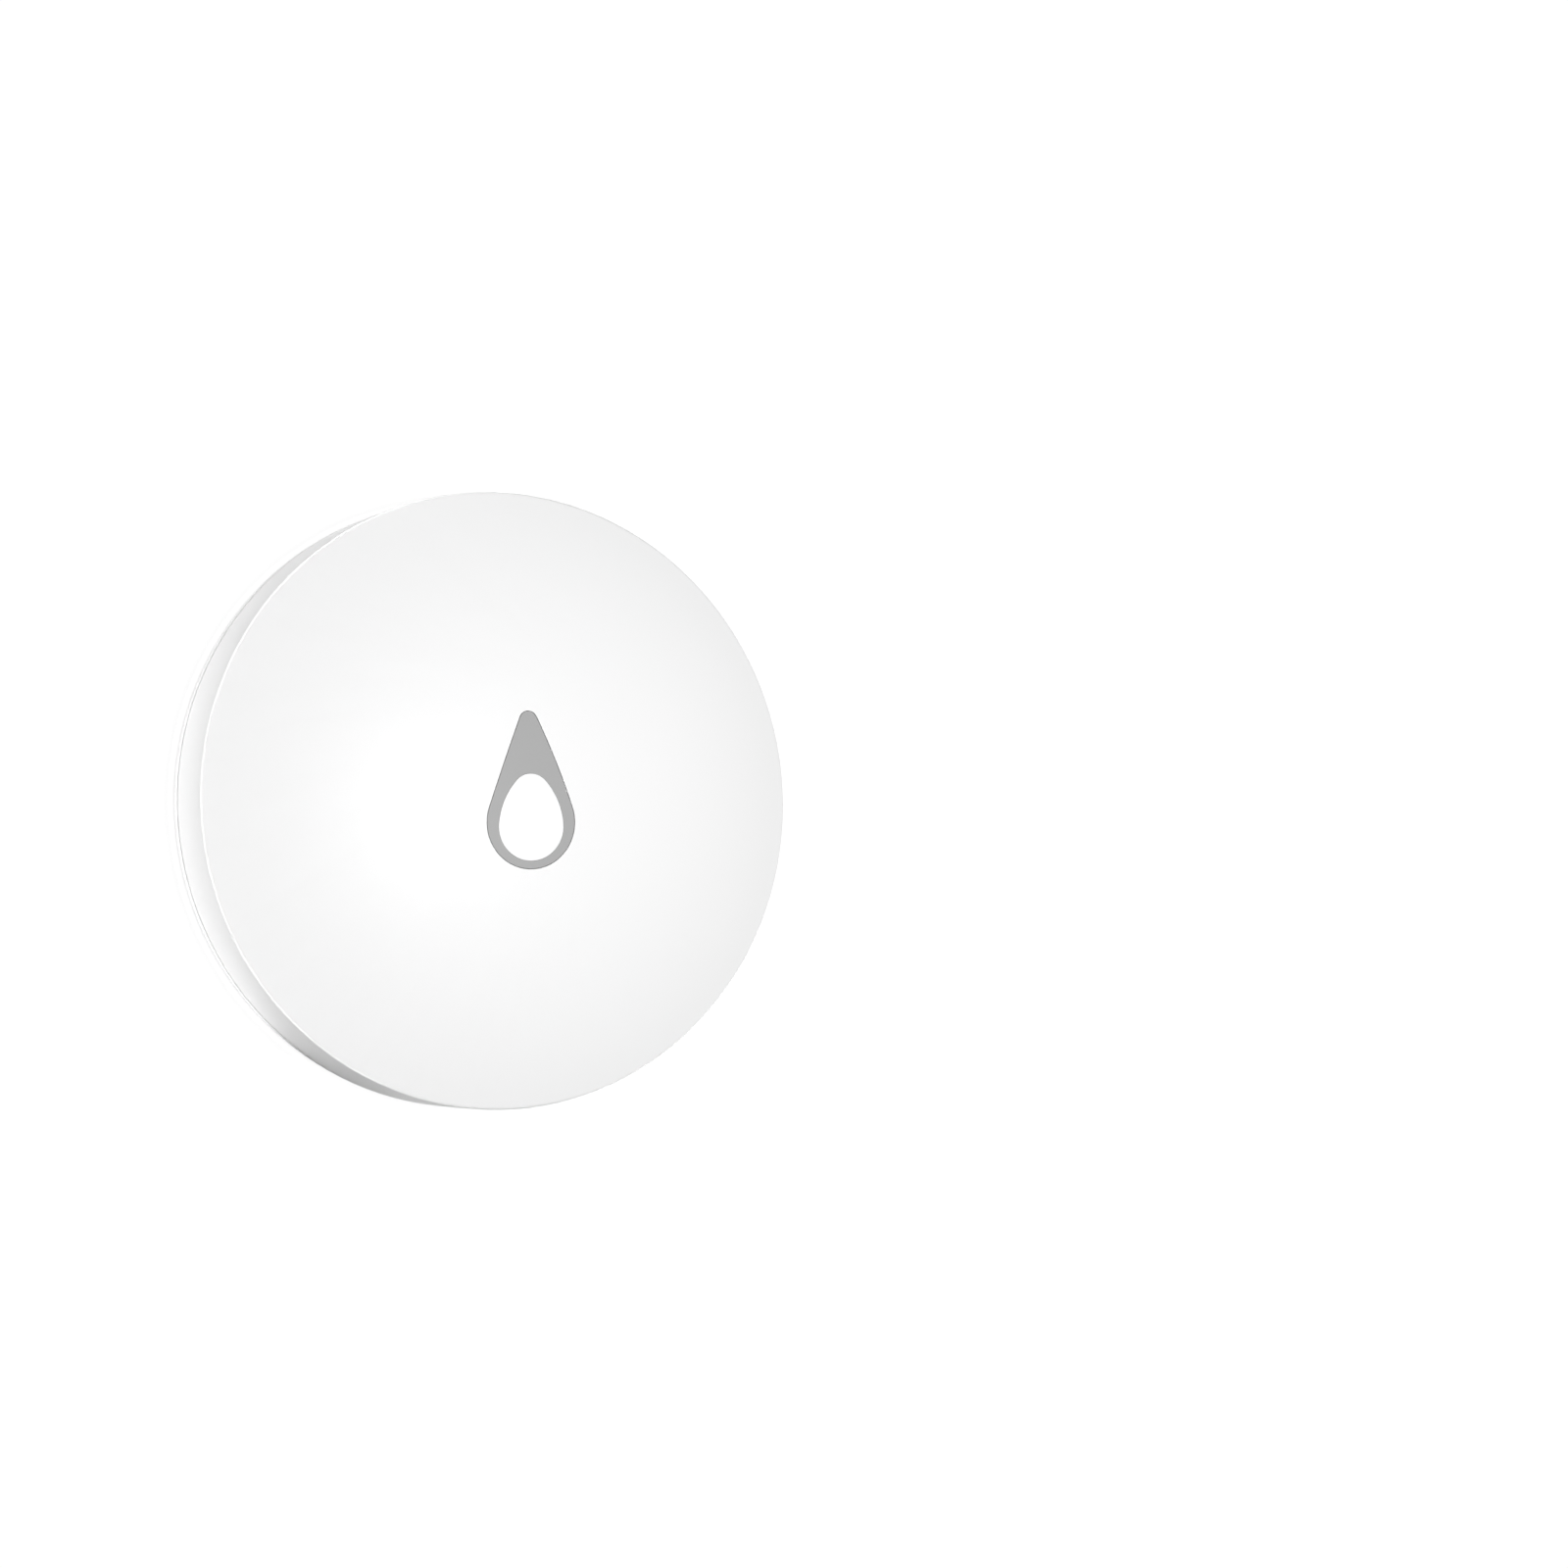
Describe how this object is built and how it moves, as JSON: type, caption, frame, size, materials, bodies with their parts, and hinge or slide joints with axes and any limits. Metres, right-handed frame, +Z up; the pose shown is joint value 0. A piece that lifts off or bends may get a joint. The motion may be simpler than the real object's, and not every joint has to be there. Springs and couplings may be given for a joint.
{
  "type": "water leak sensor",
  "caption": "Low round floor sensor with a domed top, drop-shaped button and light, water probes underneath and a coin-turned battery cover.",
  "frame": {"origin": "middle of the circle that the feet stand on, at floor height", "axes": "+Z up through the middle of the dome, +Y towards the pointed end of the drop button, +X towards the right-hand water probe"},
  "size_m": [0.05, 0.05, 0.015],
  "materials": {
    "case_white": "smooth satin moulded plastic, very fine grain",
    "button_grey": "even satin mid-grey plastic",
    "window_milky": "milky light-spreading plastic, flush with the button",
    "clear_acrylic": "clear polished acrylic",
    "silicone_translucent": "soft translucent silicone",
    "rubber_black": "black sealing rubber",
    "inner_plastic": "plain moulded plastic",
    "screw_zinc": "zinc-plated steel",
    "stainless_steel": "turned stainless steel, fine rings on the face",
    "nut_brass": "turned brass",
    "board_green": "green solder mask on glass fibre",
    "trace_copper": "gold-plated copper",
    "component_black": "black moulded resin",
    "plunger_black": "dark moulded plastic",
    "crystal_can": "nickel-plated lid",
    "ceramic_brown": "brown ceramic with tinned ends",
    "led_white": "white reflector with a clear lens",
    "spring_steel": "stamped nickel-plated spring strip",
    "cell_steel": "nickel-plated steel, drawn",
    "cell_ring": "insulating plastic ring"
  },
  "bodies": {
    "case": {"top_shell": "case_white", "base_housing": "case_white", "light_guide": "clear_acrylic", "button_seal": "silicone_translucent", "shell_gasket": "rubber_black", "probe_seal_left": "rubber_black", "probe_seal_right": "rubber_black", "button_retainer": "inner_plastic", "retainer_screws": "screw_zinc", "board_screws": "screw_zinc", "probe_left": "stainless_steel", "probe_right": "stainless_steel", "probe_nuts": "nut_brass", "circuit_board": "board_green", "antenna": "trace_copper", "switch_body": "component_black", "radio_chip": "component_black", "radio_crystal": "crystal_can", "capacitors": "ceramic_brown", "resistors": "component_black", "indicator_led": "led_white", "negative_contact": "spring_steel", "positive_contact": "spring_steel"},
    "button": {"drop_button": "button_grey", "indicator_window": "window_milky"},
    "switch_plunger": {"switch_plunger": "plunger_black"},
    "cover_seal": {"cover_seal": "rubber_black"},
    "battery_cover": {"battery_cover": "case_white"},
    "coin_cell": {"coin_cell_can": "cell_steel", "coin_cell_ring": "cell_ring", "coin_cell_cap": "cell_steel"}
  },
  "joints": [
    {"name": "button_press", "type": "slide", "parent": "case", "child": "button", "axis": [0, 0, -1], "range_m": [0, 0.0003], "stiffness_N_per_m": 4000, "springref_m": -0.0002},
    {"name": "switch_press", "type": "slide", "parent": "case", "child": "switch_plunger", "axis": [0, 0, -1], "range_m": [0, 0.0003]},
    {"name": "cover_drop", "type": "slide", "parent": "case", "child": "cover_seal", "axis": [0, 0, -1], "range_m": [0, 0.012]},
    {"name": "cover_turn", "type": "hinge", "parent": "cover_seal", "child": "battery_cover", "pos_m": [0, 0, 0.001], "axis": [0, 0, -1], "range_deg": [0, 360]},
    {"name": "cell_drop", "type": "slide", "parent": "case", "child": "coin_cell", "axis": [0, 0, -1], "range_m": [0, 0.006]}
  ],
  "couplings": [
    {"joint": "switch_press", "follows": "button_press", "ratio": 1},
    {"joint": "cover_turn", "follows": "cover_drop", "rad_per_m": 523.6},
    {"joint": "cell_drop", "follows": "cover_drop", "ratio": 0.5}
  ]
}
